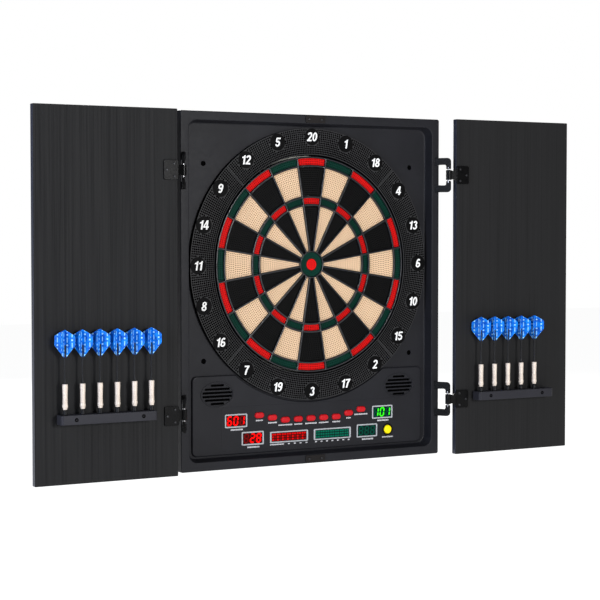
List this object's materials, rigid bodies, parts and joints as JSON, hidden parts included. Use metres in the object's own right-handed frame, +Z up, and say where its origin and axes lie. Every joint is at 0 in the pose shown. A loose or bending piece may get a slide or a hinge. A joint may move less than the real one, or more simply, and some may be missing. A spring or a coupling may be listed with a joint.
{
  "type": "electronic dartboard",
  "caption": "Wall-hung electronic dartboard: a cabinet with a soft-tip target, score displays and buttons, two doors that fold back, and racks of darts on the doors.",
  "frame": {"origin": "centre of the cabinet's rear face, which lies on the wall", "axes": "+Z up, +Y into the wall, the board faces -Y, +X to the right of a player who faces it"},
  "size_m": [0.9638, 0.0999, 0.55],
  "materials": {
    "case_plastic": "fine-grained charcoal moulded plastic",
    "number_ring_plastic": "perforated black plastic, satin",
    "web_plastic": "black plastic, satin",
    "black_wood": "black foil with an upright wood grain",
    "rack_plastic": "dark grey moulded plastic",
    "hinge_plastic": "black moulded plastic",
    "red_plastic": "bright red, satin",
    "green_plastic": "dark green, satin",
    "cream_plastic": "cream, satin",
    "yellow_plastic": "yellow, satin",
    "display_frame": "light grey bezel round a dark window",
    "magnet_steel": "dark plated steel",
    "circuit_board": "green solder resist",
    "membrane_film": "translucent film",
    "dart_metal": "satin pale metal barrel, black plastic tip and shaft"
  },
  "bodies": {
    "cabinet": {"front_housing": "case_plastic", "rear_cover": "case_plastic", "number_ring_top": "number_ring_plastic", "number_ring_left": "number_ring_plastic", "number_ring_bottom": "number_ring_plastic", "number_ring_right": "number_ring_plastic", "spider": "web_plastic", "sensor_membrane": "membrane_film", "target_back_plate": "case_plastic", "main_circuit_board": "circuit_board", "speaker_left": "rack_plastic", "speaker_right": "rack_plastic", "score_display_player_1": "display_frame", "score_display_player_2": "display_frame", "score_display_player_3": "display_frame", "score_display_player_4": "display_frame", "mark_display_left": "display_frame", "mark_display_right": "display_frame", "power_socket": "hinge_plastic", "door_magnet_top": "magnet_steel", "door_magnet_bottom": "magnet_steel", "hinge_bracket_left_upper": "hinge_plastic", "hinge_bracket_left_lower": "hinge_plastic", "hinge_bracket_right_upper": "hinge_plastic", "hinge_bracket_right_lower": "hinge_plastic"},
    "left_door_body": {"left_door": "black_wood", "left_dart_rack": "rack_plastic", "hinge_leaf_left_upper": "hinge_plastic", "hinge_leaf_left_lower": "hinge_plastic"},
    "right_door_body": {"right_door": "black_wood", "right_dart_rack": "rack_plastic", "hinge_leaf_right_upper": "hinge_plastic", "hinge_leaf_right_lower": "hinge_plastic"},
    "outer_bull": {"outer_bull": "green_plastic"},
    "inner_bull": {"inner_bull": "red_plastic"},
    "double_segments": {"double_segments": "red_plastic"},
    "outer_single_segments": {"outer_single_segments": "cream_plastic"},
    "triple_segments": {"triple_segments": "red_plastic"},
    "inner_single_segments": {"inner_single_segments": "cream_plastic"},
    "power_button": {"power_button": "red_plastic"},
    "game_button": {"game_button": "red_plastic"},
    "option_button": {"option_button": "red_plastic"},
    "double_in_out_button": {"double_in_out_button": "red_plastic"},
    "handicap_button": {"handicap_button": "red_plastic"},
    "cyber_match_button": {"cyber_match_button": "red_plastic"},
    "bounce_out_button": {"bounce_out_button": "red_plastic"},
    "sound_button": {"sound_button": "red_plastic"},
    "next_player_button": {"next_player_button": "red_plastic"},
    "start_button": {"start_button": "yellow_plastic"},
    "dart_left_1": {"dart_left_1": "dart_metal"},
    "dart_left_2": {"dart_left_2": "dart_metal"},
    "dart_left_3": {"dart_left_3": "dart_metal"},
    "dart_left_4": {"dart_left_4": "dart_metal"},
    "dart_left_5": {"dart_left_5": "dart_metal"},
    "dart_left_6": {"dart_left_6": "dart_metal"},
    "dart_right_1": {"dart_right_1": "dart_metal"},
    "dart_right_2": {"dart_right_2": "dart_metal"},
    "dart_right_3": {"dart_right_3": "dart_metal"},
    "dart_right_4": {"dart_right_4": "dart_metal"},
    "dart_right_5": {"dart_right_5": "dart_metal"}
  },
  "joints": [
    {"name": "left_door_hinge", "type": "hinge", "parent": "cabinet", "child": "left_door_body", "pos_m": [-0.2412, -0.0704, 0], "axis": [0, 0, 1], "range_deg": [0, 180]},
    {"name": "right_door_hinge", "type": "hinge", "parent": "cabinet", "child": "right_door_body", "pos_m": [0.2412, -0.0704, 0], "axis": [0, 0, -1], "range_deg": [0, 180]},
    {"name": "power_button_press", "type": "slide", "parent": "cabinet", "child": "power_button", "axis": [0, 1, 0], "range_m": [0, 0.0015], "stiffness_N_per_m": 800},
    {"name": "game_button_press", "type": "slide", "parent": "cabinet", "child": "game_button", "axis": [0, 1, 0], "range_m": [0, 0.0015], "stiffness_N_per_m": 800},
    {"name": "option_button_press", "type": "slide", "parent": "cabinet", "child": "option_button", "axis": [0, 1, 0], "range_m": [0, 0.0015], "stiffness_N_per_m": 800},
    {"name": "double_in_out_button_press", "type": "slide", "parent": "cabinet", "child": "double_in_out_button", "axis": [0, 1, 0], "range_m": [0, 0.0015], "stiffness_N_per_m": 800},
    {"name": "handicap_button_press", "type": "slide", "parent": "cabinet", "child": "handicap_button", "axis": [0, 1, 0], "range_m": [0, 0.0015], "stiffness_N_per_m": 800},
    {"name": "cyber_match_button_press", "type": "slide", "parent": "cabinet", "child": "cyber_match_button", "axis": [0, 1, 0], "range_m": [0, 0.0015], "stiffness_N_per_m": 800},
    {"name": "bounce_out_button_press", "type": "slide", "parent": "cabinet", "child": "bounce_out_button", "axis": [0, 1, 0], "range_m": [0, 0.0015], "stiffness_N_per_m": 800},
    {"name": "sound_button_press", "type": "slide", "parent": "cabinet", "child": "sound_button", "axis": [0, 1, 0], "range_m": [0, 0.0015], "stiffness_N_per_m": 800},
    {"name": "next_player_button_press", "type": "slide", "parent": "cabinet", "child": "next_player_button", "axis": [0, 1, 0], "range_m": [0, 0.0015], "stiffness_N_per_m": 800},
    {"name": "start_button_press", "type": "slide", "parent": "cabinet", "child": "start_button", "axis": [0, 1, 0], "range_m": [0, 0.0015], "stiffness_N_per_m": 800},
    {"name": "double_segments_press", "type": "slide", "parent": "cabinet", "child": "double_segments", "axis": [0, 1, 0], "range_m": [0, 0.0006], "stiffness_N_per_m": 3000},
    {"name": "outer_single_segments_press", "type": "slide", "parent": "cabinet", "child": "outer_single_segments", "axis": [0, 1, 0], "range_m": [0, 0.0006], "stiffness_N_per_m": 3000},
    {"name": "triple_segments_press", "type": "slide", "parent": "cabinet", "child": "triple_segments", "axis": [0, 1, 0], "range_m": [0, 0.0006], "stiffness_N_per_m": 3000},
    {"name": "inner_single_segments_press", "type": "slide", "parent": "cabinet", "child": "inner_single_segments", "axis": [0, 1, 0], "range_m": [0, 0.0006], "stiffness_N_per_m": 3000},
    {"name": "outer_bull_press", "type": "slide", "parent": "cabinet", "child": "outer_bull", "axis": [0, 1, 0], "range_m": [0, 0.0006], "stiffness_N_per_m": 1500},
    {"name": "inner_bull_press", "type": "slide", "parent": "cabinet", "child": "inner_bull", "axis": [0, 1, 0], "range_m": [0, 0.0006], "stiffness_N_per_m": 1500},
    {"name": "dart_left_1_lift", "type": "slide", "parent": "left_door_body", "child": "dart_left_1", "axis": [0, 0, 1], "range_m": [0, 0.06]},
    {"name": "dart_left_2_lift", "type": "slide", "parent": "left_door_body", "child": "dart_left_2", "axis": [0, 0, 1], "range_m": [0, 0.06]},
    {"name": "dart_left_3_lift", "type": "slide", "parent": "left_door_body", "child": "dart_left_3", "axis": [0, 0, 1], "range_m": [0, 0.06]},
    {"name": "dart_left_4_lift", "type": "slide", "parent": "left_door_body", "child": "dart_left_4", "axis": [0, 0, 1], "range_m": [0, 0.06]},
    {"name": "dart_left_5_lift", "type": "slide", "parent": "left_door_body", "child": "dart_left_5", "axis": [0, 0, 1], "range_m": [0, 0.06]},
    {"name": "dart_left_6_lift", "type": "slide", "parent": "left_door_body", "child": "dart_left_6", "axis": [0, 0, 1], "range_m": [0, 0.06]},
    {"name": "dart_right_1_lift", "type": "slide", "parent": "right_door_body", "child": "dart_right_1", "axis": [0, 0, 1], "range_m": [0, 0.06]},
    {"name": "dart_right_2_lift", "type": "slide", "parent": "right_door_body", "child": "dart_right_2", "axis": [0, 0, 1], "range_m": [0, 0.06]},
    {"name": "dart_right_3_lift", "type": "slide", "parent": "right_door_body", "child": "dart_right_3", "axis": [0, 0, 1], "range_m": [0, 0.06]},
    {"name": "dart_right_4_lift", "type": "slide", "parent": "right_door_body", "child": "dart_right_4", "axis": [0, 0, 1], "range_m": [0, 0.06]},
    {"name": "dart_right_5_lift", "type": "slide", "parent": "right_door_body", "child": "dart_right_5", "axis": [0, 0, 1], "range_m": [0, 0.06]}
  ]
}
